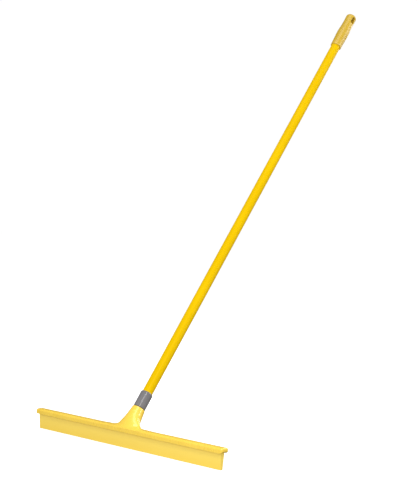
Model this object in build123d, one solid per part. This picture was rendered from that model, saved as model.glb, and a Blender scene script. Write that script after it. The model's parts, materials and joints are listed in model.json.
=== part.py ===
from build123d import *
import math
import os

# Floor squeegee ("floor scraper"): T-shaped moulded head on a threaded pole.
# Units mm.  Origin: middle of the blade's working edge.  +X along the head,
# +Y to the side the pole leans to, +Z up.

# ---- head -------------------------------------------------------------
HEAD_LENGTH = 550.0         # overall, over the flange
BLADE_LENGTH = 538.0        # at the top of the blade
BLADE_END_DRAFT = 1.5       # each end is this much shorter at the working edge
BLADE_TOP_THK = 10.0
BLADE_EDGE_THK = 6.0
BLADE_TOP_Z = 36.0          # top of the soft blade, inside the flange
EDGE_ROUND = 0.6
FLANGE_DEPTH = 20.0
FLANGE_BOTTOM_Z = 32.0
FLANGE_TOP_Z = 43.0
FLANGE_ROUND = 4.9          # along both top edges
FLANGE_END_ROUND = 5.0      # of the bar's four corners, seen from above
FLANGE_LIP_THK = 3.2        # each lip hangs beside the blade
FLANGE_LIP_GROOVE = 2.0     # height of the drip groove behind a lip
FLANGE_TIP_CUT = 4.0        # the underside rises by this much at each tip
TONGUE_THK = 3.2            # rigid tongue the soft blade is moulded round
TONGUE_BOTTOM_Z = 14.0
TONGUE_BEAD_DIA = 4.8
TONGUE_LENGTH = 524.0
FLARE_SECTIONS = [          # (centre y, height above the flange, lean, half x, half y)
    (0.0, -3.0, 0.0, 56.0, 5.0),
    (1.6, 1.0, 4.0, 40.0, 6.4),
    (5.6, 5.0, 14.0, 26.0, 7.6),
    (11.6, 10.0, 28.0, 18.0, 8.2),
    (18.2, 16.0, 36.0, 14.2, 8.6),
    (23.0, 21.0, 36.0, 13.0, 8.4),
]

# ---- pole axis --------------------------------------------------------
TILT = 36.0                 # lean of the pole from vertical
AXIS_Y = 8.5                # the pole axis passes through (0, AXIS_Y, AXIS_Z);
AXIS_Z = 37.6               # stations S_* are measured along it from there

# ---- socket and screw joint -------------------------------------------
SOCKET_DIA = 28.0
S_SOCKET_MOUTH = 47.5
S_SOCKET_FOOT = -14.0       # below the flange's underside
S_SOCKET_FLOOR = 15.5       # bottom of the threaded hole
SOCKET_MOUTH_ROUND = 0.8
S_SOCKET_RELIEF = 41.0      # thread ends; plain wide hole from here to the mouth
SOCKET_RELIEF_GAP = 0.65    # radial, over the male thread
THREAD_PITCH = 5.08         # 3/4-5 broom-handle thread
THREAD_MAJOR_DIA = 19.05
THREAD_DEPTH = 2.0
THREAD_ROOT_WIDTH = 3.2
THREAD_CREST_WIDTH = 1.4
THREAD_CLEARANCE = 0.35     # radial, and on each flank's crest
THREAD_ROOT_CLEARANCE = 1.14    # added to the groove's width at its root
S_THREAD_START = 18.0
S_THREAD_END = 44.0
MALE_FIRST_TURN = 3.9       # the male helix starts this many pitches up the axis
MALE_TURNS = 4.8
SOCKET_FIRST_TURN = 3.5
SOCKET_TURNS = 5.2
THREAD_SINK = 0.3           # the male ridge starts this far inside its core
THREAD_LEAD = 3.0           # taper of the male thread at its first turn
WASHER_THK = 1.5
WASHER_OD = 25.0
WASHER_ID = 19.8

# ---- pole -------------------------------------------------------------
POLE_DIA = 22.0             # over the plastic skin
SKIN_THK = 0.4
TUBE_WALL = 0.6
COLLAR_DIA = 26.2
COLLAR_BASE_CHAMFER = 0.5
COLLAR_TOP_DROP = 2.0       # sloping shoulder round the top of the cup
COLLAR_TOP_STEP = 1.4
COLLAR_LENGTH = 36.0
COLLAR_CUP_DEPTH = 31.0
COLLAR_PLUG_LENGTH = 52.0   # spigot inside the tube, from the cup floor
COLLAR_CORE_DIA = 8.0
PLUG_CHAMFER = 1.2
FIT_GAP = 0.05              # radial gap of the pushed-together pieces
S_TUBE_END = 1160.0

# ---- grip cap ---------------------------------------------------------
S_CAP_RIM = 1089.0
CAP_LENGTH = 104.0
CAP_PROFILE = [             # (distance from the rim, radius)
    (1.0, 13.35),
    (16.0, 13.5),
    (32.0, 14.15),
    (50.0, 14.15),
    (70.0, 12.95),
    (84.0, 12.75),
    (98.0, 13.1),
]
CAP_RIM_CHAMFER = 0.8
CAP_END_GAP = 0.5           # between the tube's end and the bottom of the cap's hole
SLOT_WIDTH = 8.8
SLOT_LENGTH = 19.0
SLOT_FROM_TOP = 15.5        # centre of the hang slot below the cap's top
SLOT_TURN = -5.0            # direction of the slot about the pole axis
SLOT_EDGE_ROUND = 1.0

OVERCUT = 1.0               # cutting shapes run this far past the face they open

S_COLLAR = S_SOCKET_MOUTH + WASHER_THK
TUBE_OD = POLE_DIA - 2 * SKIN_THK
TUBE_ID = TUBE_OD - 2 * TUBE_WALL
S_CUP_TOP = S_COLLAR + COLLAR_LENGTH
S_CUP_FLOOR = S_CUP_TOP - COLLAR_CUP_DEPTH
THREAD_CORE = THREAD_MAJOR_DIA / 2 - THREAD_DEPTH


def on_pole(shape):
    """Move a shape built along +Z (station = z) on to the leaning pole axis."""
    return Location((0, AXIS_Y, AXIS_Z), (-TILT, 0, 0)) * shape


def rod(radius, start, end):
    """Plain cylinder between two stations."""
    return Pos(0, 0, start) * Cylinder(
        radius, end - start, align=(Align.CENTER, Align.CENTER, Align.MIN)
    )


def standing_box(length, depth, low, high):
    """Box centred on the Z axis, between two heights."""
    return Pos(0, 0, low) * Box(
        length, depth, high - low, align=(Align.CENTER, Align.CENTER, Align.MIN)
    )


def revolved(points):
    """Solid of revolution about Z from closed (radius, z) points."""
    face = make_face(Polyline([(r, 0, z) for r, z in points], close=True))
    return revolve(face, Axis.Z)


def helical_ridge(root_radius, crest_radius, root_width, crest_width, first_turn, turns):
    """Trapezoid ridge on the screw helix, starting first_turn pitches above station 0."""
    path = Helix(THREAD_PITCH, turns * THREAD_PITCH, root_radius)
    half_root = root_width / 2
    half_crest = crest_width / 2
    profile = make_face(Polyline([
        (root_radius, 0, -half_root), (crest_radius, 0, -half_crest),
        (crest_radius, 0, half_crest), (root_radius, 0, half_root),
    ], close=True))
    ridge = sweep(profile, path=path, is_frenet=True)
    return Pos(0, 0, first_turn * THREAD_PITCH) * Rot(0, 0, 360 * first_turn) * ridge


def flange_body():
    """Top bar of the head: rounded top, a lip down each side, rounded ends."""
    bar = standing_box(HEAD_LENGTH, FLANGE_DEPTH, FLANGE_BOTTOM_Z, FLANGE_TOP_Z)
    bar = fillet(bar.edges().filter_by(Axis.Z), FLANGE_END_ROUND)
    bar = fillet(bar.faces().sort_by(Axis.Z)[-1].edges(), FLANGE_ROUND)
    low = FLANGE_BOTTOM_Z - OVERCUT
    channel = standing_box(BLADE_LENGTH, BLADE_TOP_THK, low, BLADE_TOP_Z)
    groove_width = FLANGE_DEPTH - 2 * FLANGE_LIP_THK
    groove_top = FLANGE_BOTTOM_Z + FLANGE_LIP_GROOVE
    groove = standing_box(BLADE_LENGTH, groove_width, low, groove_top)
    tip = Pos(HEAD_LENGTH / 2, 0, FLANGE_BOTTOM_Z) * Rot(90, 0, 0) * Cylinder(
        FLANGE_TIP_CUT, FLANGE_DEPTH + 2 * OVERCUT
    )
    return bar - channel - groove - tip - mirror(tip, Plane.YZ)


def tongue():
    """Rigid tongue with a bead, hidden inside the soft blade."""
    web_top = (BLADE_TOP_Z + FLANGE_TOP_Z) / 2
    web = standing_box(TONGUE_LENGTH, TONGUE_THK, TONGUE_BOTTOM_Z, web_top)
    bead = Pos(0, 0, TONGUE_BOTTOM_Z) * Rot(0, 90, 0) * Cylinder(
        TONGUE_BEAD_DIA / 2, TONGUE_LENGTH
    )
    return web + bead


def flare_section(centre_y, height, lean, half_x, half_y):
    """One elliptical cross-section of the flare, its normal leaning towards +Y."""
    normal = (0, math.sin(math.radians(lean)), math.cos(math.radians(lean)))
    plane = Plane(origin=(0, centre_y, FLANGE_TOP_Z + height), x_dir=(1, 0, 0), z_dir=normal)
    return plane * Ellipse(half_x, half_y)


def socket_flare():
    """Flared web that carries the flange into both sides of the socket."""
    return loft([flare_section(*row) for row in FLARE_SECTIONS])


def socket_post():
    """Leaning cylinder of the socket, cut off level with the top of the blade."""
    post = rod(SOCKET_DIA / 2, S_SOCKET_FOOT, S_SOCKET_MOUTH)
    post = fillet(post.faces().sort_by(Axis.Z)[-1].edges(), SOCKET_MOUTH_ROUND)
    above = standing_box(HEAD_LENGTH, HEAD_LENGTH, BLADE_TOP_Z, HEAD_LENGTH)
    return on_pole(post) & above


def socket_bore():
    """Smooth hole of the socket, opened out to the thread's full size near the mouth."""
    bore_radius = THREAD_CORE + THREAD_CLEARANCE
    relief_radius = THREAD_MAJOR_DIA / 2 + SOCKET_RELIEF_GAP
    relief_step = relief_radius - bore_radius
    return revolved([
        (0, S_SOCKET_FLOOR), (bore_radius, S_SOCKET_FLOOR), (bore_radius, S_SOCKET_RELIEF),
        (relief_radius, S_SOCKET_RELIEF + relief_step / 2),
        (relief_radius, S_SOCKET_MOUTH + OVERCUT), (0, S_SOCKET_MOUTH + OVERCUT),
    ])


def socket_groove():
    """Helical groove with clearance all round the male thread."""
    return helical_ridge(
        THREAD_CORE,
        THREAD_MAJOR_DIA / 2 + THREAD_CLEARANCE,
        THREAD_ROOT_WIDTH + THREAD_ROOT_CLEARANCE,
        THREAD_CREST_WIDTH + 2 * THREAD_CLEARANCE,
        SOCKET_FIRST_TURN,
        SOCKET_TURNS,
    )


def head_frame():
    body = flange_body() + tongue() + socket_post() + socket_flare()
    body = body - on_pole(socket_bore())
    return body - on_pole(socket_groove())


def blade():
    """Soft wedge blade moulded round the tongue."""
    half_top = BLADE_TOP_THK / 2
    half_edge = BLADE_EDGE_THK / 2
    half_len = BLADE_LENGTH / 2
    section = make_face(Polyline([
        (0, -half_edge, 0), (0, half_edge, 0), (0, half_top, BLADE_TOP_Z),
        (0, -half_top, BLADE_TOP_Z),
    ], close=True))
    bar = extrude(section, half_len, dir=(1, 0, 0), both=True)
    outline = make_face(Polyline([
        (-half_len + BLADE_END_DRAFT, 0, 0), (half_len - BLADE_END_DRAFT, 0, 0),
        (half_len, 0, FLANGE_BOTTOM_Z), (half_len, 0, BLADE_TOP_Z),
        (-half_len, 0, BLADE_TOP_Z), (-half_len, 0, FLANGE_BOTTOM_Z),
    ], close=True))
    bar = bar & extrude(outline, BLADE_TOP_THK, dir=(0, 1, 0), both=True)
    working = bar.faces().sort_by(Axis.Z)[0].edges()
    bar = fillet(working, EDGE_ROUND)
    return bar - tongue()


def washer():
    """Flat rubber ring between the socket's mouth and the collar."""
    ring = rod(WASHER_OD / 2, S_SOCKET_MOUTH, S_COLLAR)
    return ring - rod(WASHER_ID / 2, S_SOCKET_MOUTH - OVERCUT, S_COLLAR + OVERCUT)


def male_thread():
    """External thread of the collar, tapered at both ends."""
    crest = THREAD_MAJOR_DIA / 2
    ridge = helical_ridge(
        THREAD_CORE - THREAD_SINK, crest, THREAD_ROOT_WIDTH + THREAD_SINK,
        THREAD_CREST_WIDTH, MALE_FIRST_TURN, MALE_TURNS,
    )
    outside = crest + OVERCUT
    envelope = revolved([
        (0, S_THREAD_START), (THREAD_CORE, S_THREAD_START),
        (outside, S_THREAD_START + THREAD_LEAD), (outside, S_THREAD_END - OVERCUT),
        (THREAD_CORE, S_THREAD_END + OVERCUT), (0, S_THREAD_END + OVERCUT),
    ])
    return ridge & envelope


def threaded_collar():
    """Grey end fitting: cup and spigot for the tube, male thread below."""
    radius = COLLAR_DIA / 2
    cup_radius = POLE_DIA / 2 + FIT_GAP
    spigot = TUBE_ID / 2 - FIT_GAP
    spigot_top = S_CUP_FLOOR + COLLAR_PLUG_LENGTH
    cup = revolved([
        (0, S_COLLAR), (radius - COLLAR_BASE_CHAMFER, S_COLLAR),
        (radius, S_COLLAR + COLLAR_BASE_CHAMFER), (radius, S_CUP_TOP - COLLAR_TOP_DROP),
        (radius - COLLAR_TOP_STEP, S_CUP_TOP), (cup_radius, S_CUP_TOP),
        (cup_radius, S_CUP_FLOOR), (spigot, S_CUP_FLOOR),
        (spigot, spigot_top - PLUG_CHAMFER), (spigot - PLUG_CHAMFER, spigot_top),
        (0, spigot_top),
    ])
    stem = revolved([
        (0, S_THREAD_START - 1.0), (THREAD_CORE - 1.0, S_THREAD_START - 1.0),
        (THREAD_CORE, S_THREAD_START), (THREAD_CORE, S_COLLAR + OVERCUT),
        (0, S_COLLAR + OVERCUT),
    ])
    cored = rod(COLLAR_CORE_DIA / 2, S_THREAD_START + THREAD_LEAD, spigot_top + OVERCUT)
    return cup + stem + male_thread() - cored


def pole_layer(outer_dia, inner_dia):
    """One of the pole's two concentric tubes, from the cup's floor to the pole's end."""
    hole = rod(inner_dia / 2, S_CUP_FLOOR - OVERCUT, S_TUBE_END + OVERCUT)
    return rod(outer_dia / 2, S_CUP_FLOOR, S_TUBE_END) - hole


def grip_cap():
    """Moulded end grip: swollen middle, slim neck, blunt rounded head, hang slot."""
    top = CAP_LENGTH
    rim_z, rim_radius = CAP_PROFILE[0]
    neck_z, neck_radius = CAP_PROFILE[-1]
    corner = top - neck_z
    side = Spline([(r, 0, z) for z, r in CAP_PROFILE], tangents=((0, 0, 1), (0, 0, 1)))
    half_way = corner * math.sqrt(0.5)
    shoulder = ThreePointArc(
        (neck_radius, 0, neck_z),
        (neck_radius - corner + half_way, 0, neck_z + half_way),
        (neck_radius - corner, 0, top),
    )
    rest = Polyline([
        (neck_radius - corner, 0, top), (0, 0, top), (0, 0, 0),
        (rim_radius - CAP_RIM_CHAMFER, 0, 0), (rim_radius, 0, rim_z),
    ])
    body = revolve(make_face([side, shoulder, rest]), Axis.Z)
    body = body - rod(POLE_DIA / 2 + FIT_GAP, -OVERCUT, S_TUBE_END - S_CAP_RIM + CAP_END_GAP)
    slot_z = top - SLOT_FROM_TOP
    slot = Pos(0, 0, slot_z) * Rot(0, 90, 0) * extrude(
        SlotOverall(SLOT_LENGTH, SLOT_WIDTH), 2 * rim_radius, both=True
    )
    body = body - slot
    reach = (SLOT_LENGTH + SLOT_EDGE_ROUND) / 2
    rims = body.edges().filter_by_position(Axis.Z, slot_z - reach, slot_z + reach)
    body = fillet(rims, SLOT_EDGE_ROUND)
    return Pos(0, 0, S_CAP_RIM) * Rot(0, 0, SLOT_TURN) * body


def main():
    os.makedirs("parts", exist_ok=True)
    nodes = {
        "head_frame": head_frame(),
        "blade": blade(),
        "seal_washer": on_pole(washer()),
        "threaded_collar": on_pole(threaded_collar()),
        "handle_tube": on_pole(pole_layer(TUBE_OD, TUBE_ID)),
        "handle_skin": on_pole(pole_layer(POLE_DIA, TUBE_OD)),
        "grip_cap": on_pole(grip_cap()),
    }
    for name, shape in nodes.items():
        print(name, "volume", round(shape.volume, 1), "solids", len(shape.solids()))
        export_step(shape, f"parts/{name}.step")


main()
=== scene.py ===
"""Looks of the floor squeegee: studio, camera, materials and the head's finished mesh."""
import json
import math

import bmesh
import bpy
from mathutils import Matrix, Vector


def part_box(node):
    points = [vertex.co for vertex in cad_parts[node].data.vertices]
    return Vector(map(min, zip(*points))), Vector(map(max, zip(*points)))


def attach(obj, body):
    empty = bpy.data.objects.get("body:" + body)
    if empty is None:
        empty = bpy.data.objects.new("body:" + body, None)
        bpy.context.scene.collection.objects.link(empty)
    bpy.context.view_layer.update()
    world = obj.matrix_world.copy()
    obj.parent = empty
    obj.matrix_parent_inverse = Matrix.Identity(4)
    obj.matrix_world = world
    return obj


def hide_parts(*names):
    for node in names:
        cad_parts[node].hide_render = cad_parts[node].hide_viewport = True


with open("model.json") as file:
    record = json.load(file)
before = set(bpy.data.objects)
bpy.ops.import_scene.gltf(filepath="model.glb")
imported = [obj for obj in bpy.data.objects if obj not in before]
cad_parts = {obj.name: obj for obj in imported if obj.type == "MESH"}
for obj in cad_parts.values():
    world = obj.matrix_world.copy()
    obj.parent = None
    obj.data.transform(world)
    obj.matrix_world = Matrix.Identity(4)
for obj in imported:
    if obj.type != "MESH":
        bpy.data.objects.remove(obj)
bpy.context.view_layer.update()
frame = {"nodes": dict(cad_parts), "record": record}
nodes = frame["nodes"]

MM = 0.001

# ---- places taken from the frame ---------------------------------------------
SCREW = frame["record"]["behaviour"]["joints"][-1]
POLE_FOOT = Vector(SCREW["pos_m"])              # stations are measured along the pole from here
POLE_DIR = Vector(SCREW["axis"]).normalized()
POLE_BACK = Vector((0.0, POLE_DIR.z, -POLE_DIR.y))      # square to the pole, away from the lean
HEAD_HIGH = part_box("head_frame")[1]             # the boxes' upper corners
BLADE_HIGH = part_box("blade")[1]


# ---- camera: its place about the origin, in metres -------------------------------
CAM_AZIMUTH = math.radians(42.72)       # 0 is -Y, 90 degrees is +X
CAM_ELEVATION = math.radians(0.10)
CAM_ROLL = math.radians(2.78)
CAM_DISTANCE = 2.307
CAM_SIDE = 0.1731
CAM_RISE = 0.4223
LENS_MM = 84.9375
SENSOR_MM = 36.0
FAR_CLIP = 100.0


def camera_axes():
    """Unit vectors of the picture: right, up and back towards the camera."""
    flat = math.cos(CAM_ELEVATION)
    back = Vector((math.sin(CAM_AZIMUTH) * flat, -math.cos(CAM_AZIMUTH) * flat,
                   math.sin(CAM_ELEVATION)))
    right = Vector((math.cos(CAM_AZIMUTH), math.sin(CAM_AZIMUTH), 0.0))
    up = back.cross(right)
    side = math.cos(CAM_ROLL) * right + math.sin(CAM_ROLL) * up
    top = -math.sin(CAM_ROLL) * right + math.cos(CAM_ROLL) * up
    return side, top, back


def add_camera():
    """Camera placed from its angles, distance and offsets."""
    side, top, back = camera_axes()
    place = CAM_DISTANCE * back + CAM_SIDE * side + CAM_RISE * top
    data = bpy.data.cameras.new("camera")
    data.sensor_fit = "AUTO"
    data.sensor_width = SENSOR_MM
    data.lens = LENS_MM
    data.clip_end = FAR_CLIP
    camera = bpy.data.objects.new("camera", data)
    bpy.context.scene.collection.objects.link(camera)
    turn = Matrix((side, top, back)).transposed()
    camera.matrix_world = Matrix.Translation(place) @ turn.to_4x4()
    bpy.context.scene.camera = camera


# ---- head moulding: control cage of the bar and the socket, in millimetres --------
BAR_BOTTOM = 32.0
BAR_TOP = 43.0
BAR_HALF_DEPTH = 10.0
BAR_END = HEAD_HIGH.x / MM
BAR_MIDDLE = 37.0           # height of the control points halfway up the outside
BAR_LOW_EDGE = 33.6         # and of those that keep the lower edge crisp
BAR_SHOULDER = 40.4         # where the rounding of the top edge starts, on the outside
BAR_CREST = 7.4             # and where it ends, on top
PLAIN_STATIONS = (80.0, 120.0, 190.0, 245.0)
CHANNEL_END_STEPS = ((-3.0, True), (-0.2, True), (0.4, False))  # past its end, channel open
END_ROUNDING = (            # short of the bar's end, narrower each side, lower, bottom higher
    (2.8, 0.0, 0.0, 1.0),
    (0.9, 0.8, 0.7, 2.8),
    (0.0, 3.0, 2.6, 4.0),
)
LIP_INNER = 6.8
GROOVE_TOP = 34.0           # drip grooves each side of the blade
CHANNEL_HALF = BLADE_HIGH.y / MM
CHANNEL_TOP = BLADE_HIGH.z / MM
CHANNEL_END = BLADE_HIGH.x / MM
SOLID_UNDER = (BAR_HALF_DEPTH, LIP_INNER, 5.9, 5.0, 2.5)    # under side where there is no channel
LIP_CREASE = 0.85
UNDER_POINTS = 11           # of a section's 20 points, and the first one on the shoulder
SHOULDER_POINT = 13

FLARE_END = 54.0            # the bar's top opens into the socket's flare inside this
OVERHANG_Z = 37.4           # underside of the flare where it leaves the back of the bar
OVERHANG_STEP = 2.2         # from there down to the control points below
SOCKET_RADIUS = 14.0
SOCKET_MOUTH = 47.5         # stations along the pole
SOCKET_FLOOR = 15.5
FLARE_RINGS = (             # half width, then (y, z) of the side, front and back points
    (36.5, (9.5, 43.2), (-7.4, 42.4), (17.0, 36.9)),
    (29.0, (14.8, 46.7), (-4.4, 46.2), (24.0, 37.0)),
    (24.4, (15.8, 53.6), (0.2, 53.6), (29.4, 40.2)),
)
DRAFT_RINGS = ((26.0, 2.7), (37.0, 1.2))                # station, added to the radius
LIP_RINGS = ((-1.2, 0.0), (-0.1, -0.1), (0.0, -1.0))    # past the mouth, added to the radius
LIP_WIDTH = 1.0

RELIEF_START = 41.0
RELIEF_RADIUS = 10.175
RELIEF_EDGE = RELIEF_START + 1.0
RELIEF_STATIONS = (SOCKET_MOUTH - 0.4, RELIEF_START + 2.5, RELIEF_EDGE)
BORE_RADIUS = 7.875
BORE_STEPS = 84
GROOVE_RADIUS = 9.875
GROOVE_HALF_CREST = 1.05
GROOVE_HALF_ROOT = 2.0
GROOVE_START = RELIEF_START + 0.7
GROOVE_RUN_IN = 1.5
THREAD_PITCH = 5.08

RING = 16                   # control points round the socket
ROUND_GAIN = 6.0 / (4.0 + 2.0 * math.cos(math.tau / RING))  # control circle over real circle
CAGE_LEVELS = 2
SHARP_ANGLE = math.radians(40.0)

TONGUE_HALF = 1.6
TONGUE_BOTTOM = 14.0
TONGUE_HALF_LENGTH = 262.0
TONGUE_TOP = CHANNEL_TOP + 1.0      # the root is sunk into the bar
BEAD_RADIUS = 2.4
BEAD_STEPS = 24


def bar_stations():
    """(x, half depth, top, bottom, open channel) of the control sections, middle to one end."""
    full = (BAR_HALF_DEPTH, BAR_TOP, BAR_BOTTOM)
    stations = [(x, *full, True) for x in (0.0, FLARE_END / 2, FLARE_END, *PLAIN_STATIONS)]
    stations += [(CHANNEL_END + past, *full, is_open) for past, is_open in CHANNEL_END_STEPS]
    for short, narrower, lower, higher in END_ROUNDING:
        stations.append((BAR_END - short, BAR_HALF_DEPTH - narrower, BAR_TOP - lower,
                         BAR_BOTTOM + higher, False))
    return stations


def bar_section(half_depth, top, bottom, is_open):
    """Closed loop of 20 (y, z) points: under side from -Y to +Y, then back over the top."""
    wide = half_depth / BAR_HALF_DEPTH
    tall = (top - bottom) / (BAR_TOP - BAR_BOTTOM)
    under = [(BAR_HALF_DEPTH, BAR_BOTTOM), (LIP_INNER, BAR_BOTTOM), (LIP_INNER, GROOVE_TOP),
             (CHANNEL_HALF, GROOVE_TOP), (CHANNEL_HALF, CHANNEL_TOP)]
    if not is_open:
        under = [(y, BAR_BOTTOM) for y in SOLID_UNDER]
    over = [(BAR_HALF_DEPTH, BAR_LOW_EDGE), (BAR_HALF_DEPTH, BAR_MIDDLE),
            (BAR_HALF_DEPTH, BAR_SHOULDER), (BAR_CREST, BAR_TOP)]
    middle_under = (0.0, CHANNEL_TOP if is_open else BAR_BOTTOM)
    mirrored = [(-y, z) for y, z in under]
    loop = mirrored + [middle_under] + under[::-1]
    loop += over + [(0.0, BAR_TOP)] + [(-y, z) for y, z in over[::-1]]
    return [(y * wide, bottom + (z - BAR_BOTTOM) * tall) for y, z in loop]


def on_pole(station, radius, angle):
    """Point beside the pole's axis, in millimetres; angle 0 is +X, 90 degrees is POLE_BACK."""
    side = Vector((math.cos(angle), 0.0, 0.0)) + POLE_BACK * math.sin(angle)
    return POLE_FOOT / MM + POLE_DIR * station + side * radius


def socket_ring(half_x, side, front, back):
    """Ring of control points from its side, front and back points, each (y, z)."""
    ring = []
    for k in range(RING):
        angle = math.tau * k / RING
        end = back if math.sin(angle) > 0 else front
        reach = abs(math.sin(angle))
        ring.append(Vector((half_x * math.cos(angle), side[0] + reach * (end[0] - side[0]),
                            side[1] + reach ** 2 * (end[1] - side[1]))))
    return ring


def round_ring(station, radius):
    """Ring of control points that refines to a circle round the pole's axis."""
    grown = radius * ROUND_GAIN
    return [on_pole(station, grown, math.tau * k / RING) for k in range(RING)]


def socket_rings():
    """Control rings from the bar's top up to the inner edge of the socket's mouth."""
    rings = [socket_ring(*row) for row in FLARE_RINGS]
    rings += [round_ring(station, SOCKET_RADIUS + added) for station, added in DRAFT_RINGS]
    rings += [round_ring(SOCKET_MOUTH + past, SOCKET_RADIUS + added) for past, added in LIP_RINGS]
    rings += [round_ring(SOCKET_MOUTH, RELIEF_RADIUS + wider) for wider in (LIP_WIDTH, 0.0)]
    return rings


def head_cage():
    """Control mesh of the bar with the socket grown out of its top; the mouth is left open."""
    cage = bmesh.new()
    crease = cage.edges.layers.float.new("crease_edge")
    half = bar_stations()
    rows = [(-x, *rest) for x, *rest in half[:0:-1]] + half
    grid = [[cage.verts.new((row[0], y, z)) for y, z in bar_section(*row[1:])] for row in rows]
    loop_len = len(grid[0])
    middle = len(half) - 1
    hole_cols = range(middle - 2, middle + 2)
    top_first = SHOULDER_POINT
    hole_rows = range(top_first, top_first + 4)
    for i in range(len(grid) - 1):
        for j in range(loop_len):
            if i in hole_cols and j in hole_rows:
                continue
            k = (j + 1) % loop_len
            cage.faces.new((grid[i][j], grid[i + 1][j], grid[i + 1][k], grid[i][k]))
    for column in range(middle - 1, middle + 2):
        grid[column][top_first].co.z = OVERHANG_Z
        grid[column][top_first - 1].co.z = OVERHANG_Z - OVERHANG_STEP
    cap_bar_end(cage, grid[0], False)
    cap_bar_end(cage, grid[-1], True)
    bridge_socket(cage, hole_boundary(grid, middle, top_first))
    crease_bar(cage, crease, grid)
    loose = [v for v in cage.verts if not v.link_faces]     # the grid's points in the opening
    bmesh.ops.delete(cage, geom=loose, context="VERTS")
    return cage


def cap_bar_end(cage, section, far):
    """Close the end of the bar: the under side's points against the top's."""
    under = section[:UNDER_POINTS]
    over = [section[0]] + section[:UNDER_POINTS - 2:-1]
    for j in range(UNDER_POINTS - 1):
        corners = [under[j], under[j + 1], over[j + 1], over[j]]
        unique = list(dict.fromkeys(corners))
        cage.faces.new(unique if far else unique[::-1])


def hole_boundary(grid, middle, top_first):
    """The 16 vertices round the opening, from +X anticlockwise seen from above."""
    top = [[grid[middle + c][top_first + r] for r in range(5)] for c in (-2, -1, 0, 1, 2)]
    right = [top[4][2], top[4][1], top[4][0]]
    back = [top[3][0], top[2][0], top[1][0], top[0][0]]
    left = [top[0][1], top[0][2], top[0][3], top[0][4]]
    front = [top[1][4], top[2][4], top[3][4], top[4][4], top[4][3]]
    return right + back + left + front


def bridge_socket(cage, boundary):
    """Faces from the opening in the bar up through the socket's rings."""
    below = boundary
    for points in socket_rings():
        ring = [cage.verts.new(p) for p in points]
        for k in range(RING):
            n = (k + 1) % RING
            cage.faces.new((below[k], below[n], ring[n], ring[k]))
        below = ring


def crease_bar(cage, crease, grid):
    """Keep the lips, the drip grooves and the channel crisp along the bar."""
    lips_and_channel = (0, 1, 2, 3, 4, 6, 7, 8, 9, 10)
    for i in range(len(grid) - 1):
        for j in lips_and_channel:
            edge = cage.edges.get((grid[i][j], grid[i + 1][j]))
            edge[crease] = LIP_CREASE


def refined(cage):
    """The cage as a subdivided mesh."""
    mesh = bpy.data.meshes.new("cage")
    cage.to_mesh(mesh)
    cage.free()
    holder = bpy.data.objects.new("cage", mesh)
    bpy.context.scene.collection.objects.link(holder)
    subsurf = holder.modifiers.new("subdivision", "SUBSURF")
    subsurf.levels = CAGE_LEVELS
    subsurf.render_levels = CAGE_LEVELS
    graph = bpy.context.evaluated_depsgraph_get()
    graph.update()
    fine = bmesh.new()
    fine.from_mesh(bpy.data.meshes.new_from_object(holder.evaluated_get(graph)))
    bpy.data.objects.remove(holder)
    return fine


def groove_radius(station, angle):
    """Radius of the tapped hole: a trapezoid groove that winds right-handed up the bore."""
    if station >= RELIEF_EDGE:
        return RELIEF_RADIUS
    turns = station / THREAD_PITCH - angle / math.tau
    off_centre = abs(turns - round(turns)) * THREAD_PITCH
    flank = (GROOVE_HALF_ROOT - off_centre) / (GROOVE_HALF_ROOT - GROOVE_HALF_CREST)
    depth = min(max(flank, 0.0), 1.0) * (GROOVE_RADIUS - BORE_RADIUS)
    run_in = min(max((station - SOCKET_FLOOR) / GROOVE_RUN_IN - 1.0, 0.0), 1.0)
    return BORE_RADIUS + depth * run_in


def cut_bore(head):
    """Continue the open edge of the mouth down the threaded hole and close its floor."""
    axis_foot = POLE_FOOT / MM
    rim = {v for e in head.edges if e.is_boundary for v in e.verts}

    def angle_of(vertex):
        off = vertex.co - axis_foot
        return math.atan2(off.dot(POLE_BACK), off.x)

    ring = sorted(rim, key=angle_of)
    angles = [angle_of(v) for v in ring]
    depth = GROOVE_START - SOCKET_FLOOR
    threaded = [GROOVE_START - depth * k / BORE_STEPS for k in range(BORE_STEPS + 1)]
    count = len(ring)
    for station in (*RELIEF_STATIONS, *threaded):
        lower = [head.verts.new(on_pole(station, groove_radius(station, a), a)) for a in angles]
        for k in range(count):
            n = (k + 1) % count
            head.faces.new((ring[k], ring[n], lower[n], lower[k]))
        ring = lower
    centre = head.verts.new(on_pole(SOCKET_FLOOR, 0.0, 0.0))
    for k in range(count):
        head.faces.new((ring[k], ring[(k + 1) % count], centre))


def add_tongue(head):
    """Rigid tongue with its bead, a closed shell inside the soft blade."""
    start = math.asin(TONGUE_HALF / BEAD_RADIUS)
    sweep = math.tau - 2 * start
    outline = []
    for k in range(BEAD_STEPS + 1):
        a = start + sweep * k / BEAD_STEPS
        outline.append((BEAD_RADIUS * math.sin(a), TONGUE_BOTTOM + BEAD_RADIUS * math.cos(a)))
    outline += [(-TONGUE_HALF, TONGUE_TOP), (TONGUE_HALF, TONGUE_TOP)]
    ends = []
    for x in (-TONGUE_HALF_LENGTH, TONGUE_HALF_LENGTH):
        ends.append([head.verts.new((x, y, z)) for y, z in outline])
    for k in range(len(outline)):
        n = (k + 1) % len(outline)
        head.faces.new((ends[0][k], ends[0][n], ends[1][n], ends[1][k]))
    head.faces.new(ends[0][::-1])
    head.faces.new(ends[1])


def build_head():
    """Finished mesh of the head moulding, in place of the CAD node."""
    head = refined(head_cage())
    cut_bore(head)
    add_tongue(head)
    bmesh.ops.recalc_face_normals(head, faces=head.faces)
    bmesh.ops.scale(head, vec=(MM, MM, MM), verts=head.verts)
    mesh = bpy.data.meshes.new("head_moulding")
    head.to_mesh(mesh)
    head.free()
    mesh.shade_smooth()
    mesh.set_sharp_from_angle(angle=SHARP_ANGLE)
    piece = bpy.data.objects.new("head_moulding", mesh)
    bpy.context.scene.collection.objects.link(piece)
    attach(piece, "head")
    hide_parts("head_frame")
    return piece


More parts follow.
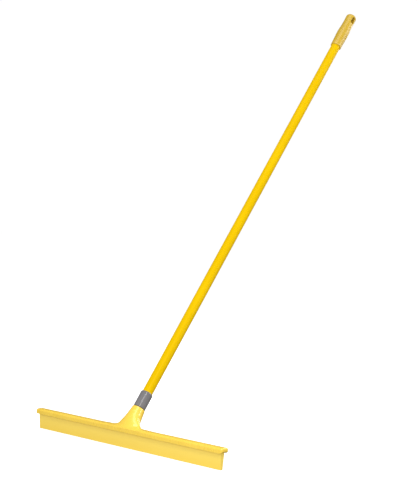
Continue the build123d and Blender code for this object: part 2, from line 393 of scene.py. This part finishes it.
# ---- materials: noise scales are per metre, bump depths in metres -------------------
EVEN = (1.0, 1.0, 1.0)
ALONG_BLADE = (0.06, 1.0, 1.0)
ALONG_POLE = (1.0, 0.12, 0.12)
WEAR_START, WEAR_END = 0.52, 0.62       # pointiness; a flat face is 0.5
CLOUD_SCALE, CLOUD_DETAIL = 16.0, 10.0
SMEAR_SCALE, SMEAR_DETAIL = 90.0, 8.0
FLOW_SCALE, FLOW_DETAIL = 150.0, 3.0
FLOW_OVER_GRAIN = 4.0                   # depth of the flow marks over that of the grain
GRAIN_DETAIL = 2.0
GRAIN_STRENGTH, FLOW_STRENGTH = 0.5, 0.4


def new_material(name):
    """A node material with its tree and shader."""
    material = bpy.data.materials.new(name)
    material.use_nodes = True
    tree = material.node_tree
    shader = tree.nodes["Principled BSDF"]
    return material, tree, shader


def noise(tree, scale, detail, stretch=EVEN):
    """Noise over the object's own coordinates; a low stretch draws it out along that axis."""
    place = tree.nodes.new("ShaderNodeTexCoord")
    mapping = tree.nodes.new("ShaderNodeMapping")
    mapping.inputs["Scale"].default_value = stretch
    texture = tree.nodes.new("ShaderNodeTexNoise")
    texture.inputs["Scale"].default_value = scale
    texture.inputs["Detail"].default_value = detail
    tree.links.new(place.outputs["Object"], mapping.inputs["Vector"])
    tree.links.new(mapping.outputs["Vector"], texture.inputs["Vector"])
    return texture.outputs["Fac"]


def ramp(tree, value, low, high, start=0.3, end=0.7):
    """Colour or grey ramp between two values."""
    node = tree.nodes.new("ShaderNodeValToRGB")
    node.color_ramp.elements[0].position = start
    node.color_ramp.elements[1].position = end
    node.color_ramp.elements[0].color = (*low, 1.0)
    node.color_ramp.elements[1].color = (*high, 1.0)
    tree.links.new(value, node.inputs["Fac"])
    return node.outputs["Color"]


def rubbed_edges(tree, base, rubbed):
    """The base colour with another one on convex edges, from the mesh's own curvature."""
    geometry = tree.nodes.new("ShaderNodeNewGeometry")
    edges = ramp(tree, geometry.outputs["Pointiness"], (0, 0, 0), (1, 1, 1), WEAR_START, WEAR_END)
    node = tree.nodes.new("ShaderNodeMix")
    node.data_type = "RGBA"
    tree.links.new(edges, node.inputs["Factor"])
    tree.links.new(base, node.inputs["A"])
    node.inputs["B"].default_value = (*rubbed, 1.0)
    return node.outputs["Result"]


def bump(tree, shader, height, distance, strength, below=None):
    """Bump on the shader, over another one if given."""
    node = tree.nodes.new("ShaderNodeBump")
    node.inputs["Strength"].default_value = strength
    node.inputs["Distance"].default_value = distance
    tree.links.new(height, node.inputs["Height"])
    if below is not None:
        tree.links.new(below, node.inputs["Normal"])
    tree.links.new(node.outputs["Normal"], shader.inputs["Normal"])
    return node.outputs["Normal"]


def rough(tree, shader, value, low, high, **ends):
    """Roughness between two levels."""
    tree.links.new(ramp(tree, value, (low,) * 3, (high,) * 3, **ends), shader.inputs["Roughness"])


def moulded_plastic(name, dark, light, rubbed, roughness, grain, depth, sheen=0.5, flow=EVEN):
    """Moulded plastic: cloudy colour, flow marks, fine grain and paler rubbed edges."""
    material, tree, shader = new_material(name)
    shader.inputs["Specular IOR Level"].default_value = sheen
    cloud = ramp(tree, noise(tree, CLOUD_SCALE, CLOUD_DETAIL), dark, light)
    tree.links.new(rubbed_edges(tree, cloud, rubbed), shader.inputs["Base Color"])
    rough(tree, shader, noise(tree, SMEAR_SCALE, SMEAR_DETAIL, flow), *roughness)
    fine = bump(tree, shader, noise(tree, grain, GRAIN_DETAIL), depth, GRAIN_STRENGTH)
    marks = noise(tree, FLOW_SCALE, FLOW_DETAIL, flow)
    bump(tree, shader, marks, depth * FLOW_OVER_GRAIN, FLOW_STRENGTH, fine)
    return material


def pole_skin():
    """Glossy plastic skin drawn over the tube: draw lines, orange peel and fine scuffs."""
    material, tree, shader = new_material("pole_skin")
    cloud = ramp(tree, noise(tree, scale=9.0, detail=4.0),
                 (0.64, 0.405, 0.0010), (0.69, 0.440, 0.0016))
    tree.links.new(cloud, shader.inputs["Base Color"])
    shader.inputs["Specular IOR Level"].default_value = 0.02
    scuffs = noise(tree, scale=180.0, detail=8.0, stretch=ALONG_POLE)
    rough(tree, shader, scuffs, 0.24, 0.40, start=0.45, end=0.75)
    peel = noise(tree, scale=420.0, detail=2.0)
    fine = bump(tree, shader, peel, distance=0.00006, strength=0.3)
    draw_lines = noise(tree, scale=90.0, detail=2.0, stretch=ALONG_POLE)
    bump(tree, shader, draw_lines, distance=0.0002, strength=0.3, below=fine)
    return material


def drawn_steel():
    """Zinc-coated tube, hidden under the skin."""
    material, tree, shader = new_material("tube_steel")
    tone = ramp(tree, noise(tree, scale=40.0, detail=8.0), (0.42, 0.43, 0.44), (0.62, 0.62, 0.63))
    tree.links.new(tone, shader.inputs["Base Color"])
    shader.inputs["Metallic"].default_value = 1.0
    rough(tree, shader, noise(tree, scale=120.0, detail=6.0), 0.25, 0.45)
    return material


def dress(piece, material):
    """Give a piece one material in place of those it came with."""
    piece.data.materials.clear()
    piece.data.materials.append(material)


def build_materials(head):
    """Materials of the head's mesh and of the nodes carried over from the CAD."""
    dress(head, moulded_plastic(
        "head_moulding", dark=(0.88, 0.595, 0.066), light=(0.94, 0.648, 0.080),
        rubbed=(0.95, 0.74, 0.16), roughness=(0.22, 0.32), grain=900.0, depth=0.00018, sheen=1.0))
    dress(nodes["blade"], moulded_plastic(
        "soft_blade", dark=(0.90, 0.572, 0.034), light=(0.95, 0.622, 0.045),
        rubbed=(0.95, 0.70, 0.12), roughness=(0.48, 0.66), grain=1200.0, depth=0.00016,
        flow=ALONG_BLADE))
    # Near-black washer ring: a rubber washer whose dark colour also paints the shadow line in the
    # gap where the collar meets the socket
    dress(nodes["seal_washer"], moulded_plastic(
        "washer_rubber", dark=(0.016, 0.016, 0.017), light=(0.030, 0.030, 0.031),
        rubbed=(0.06, 0.06, 0.06), roughness=(0.55, 0.75), grain=1500.0, depth=0.00004))
    dress(nodes["threaded_collar"], moulded_plastic(
        "grey_moulding", dark=(0.118, 0.114, 0.116), light=(0.145, 0.140, 0.144),
        rubbed=(0.24, 0.23, 0.24), roughness=(0.13, 0.20), grain=1100.0, depth=0.00008,
        sheen=0.28))
    dress(nodes["handle_tube"], drawn_steel())
    dress(nodes["handle_skin"], pole_skin())
    dress(nodes["grip_cap"], moulded_plastic(
        "grip_moulding", dark=(0.50, 0.325, 0.022), light=(0.56, 0.368, 0.029),
        rubbed=(0.68, 0.47, 0.08), roughness=(0.34, 0.46), grain=1000.0, depth=0.00005))


# ---- studio ------------------------------------------------------------------------
WHITE = (1.0, 1.0, 1.0, 1.0)
FLOOR_SIZE = 120.0
FLOOR_DROP = 0.0004
FLOOR_GREY = (0.9, 0.9, 0.9, 1.0)
FLOOR_GLOW = 0.53
SEEN_SKY = 1.02
AMBIENT = 0.56
REFLECTED_AMBIENT = 0.06

AT_HEAD = (0.0, 0.0, 0.1)
AT_COLLAR = (0.0, 0.045, 0.088)
AT_LOW_POLE = (0.0, 0.1, 0.3)
AT_MIDDLE = (0.0, 0.3, 0.4)
AT_GRIP = (0.0, 0.67, 0.96)
PANELS = (      # name, azimuth, elevation, distance, aim, (width, height), power in watts
    ("key", 51, 44, 1.6, AT_COLLAR, (0.14, 0.5), 7.5),
    ("front", 25, 12, 2.4, AT_LOW_POLE, (1.4, 0.9), 28.5),
    ("top", 40, 76, 2.4, AT_MIDDLE, (1.4, 1.4), 20),
    ("right_low", 122, 18, 1.6, AT_HEAD, (0.3, 0.5), 3.2),
    ("back", 178, 24, 2.4, AT_MIDDLE, (1.0, 1.0), 12),
    ("grip_kicker", 128, 18, 0.9, AT_GRIP, (0.18, 0.40), 3.0),
)


def add_floor():
    """Plain pale floor, kept out of reflections and bounced light."""
    bpy.ops.mesh.primitive_plane_add(size=FLOOR_SIZE, location=(0, 0, -FLOOR_DROP))
    floor = bpy.context.object
    floor.name = "studio_floor"
    material, _, shader = new_material("studio_floor")
    shader.inputs["Base Color"].default_value = FLOOR_GREY
    shader.inputs["Roughness"].default_value = 1.0
    shader.inputs["Specular IOR Level"].default_value = 0.0
    shader.inputs["Emission Color"].default_value = WHITE
    shader.inputs["Emission Strength"].default_value = FLOOR_GLOW
    floor.data.materials.append(material)
    floor.visible_glossy = False
    floor.visible_diffuse = False


def add_area_light(name, azimuth, elevation, distance, aim, size, power):
    """Soft panel seen from aim at an azimuth (0 is -Y, 90 is +X) and elevation, in degrees."""
    az, el = math.radians(azimuth), math.radians(elevation)
    ray = Vector((math.sin(az) * math.cos(el), -math.cos(az) * math.cos(el), math.sin(el)))
    data = bpy.data.lights.new(name, "AREA")
    data.shape = "RECTANGLE"
    data.size, data.size_y = size
    data.energy = power
    light = bpy.data.objects.new(name, data)
    bpy.context.scene.collection.objects.link(light)
    light.location = Vector(aim) + ray * distance
    light.rotation_euler = ray.to_track_quat("Z", "Y").to_euler()


def add_world():
    """White surroundings to look at, softer ones for light and nearly none in reflections."""
    world = bpy.data.worlds.new("studio")
    bpy.context.scene.world = world
    world.use_nodes = True
    tree = world.node_tree
    background = tree.nodes["Background"]
    background.inputs["Color"].default_value = WHITE
    path = tree.nodes.new("ShaderNodeLightPath")
    by_gloss = tree.nodes.new("ShaderNodeMix")
    by_gloss.inputs["A"].default_value = AMBIENT
    by_gloss.inputs["B"].default_value = REFLECTED_AMBIENT
    seen = tree.nodes.new("ShaderNodeMix")
    seen.inputs["B"].default_value = SEEN_SKY
    tree.links.new(path.outputs["Is Glossy Ray"], by_gloss.inputs["Factor"])
    tree.links.new(path.outputs["Is Camera Ray"], seen.inputs["Factor"])
    tree.links.new(by_gloss.outputs["Result"], seen.inputs["A"])
    tree.links.new(seen.outputs["Result"], background.inputs["Strength"])


def build_studio():
    """Floor, surroundings and light panels."""
    add_floor()
    add_world()
    bpy.context.scene.view_settings.view_transform = "Standard"
    for panel in PANELS:
        add_area_light(*panel)


head_piece = build_head()
build_materials(head_piece)
build_studio()
add_camera()
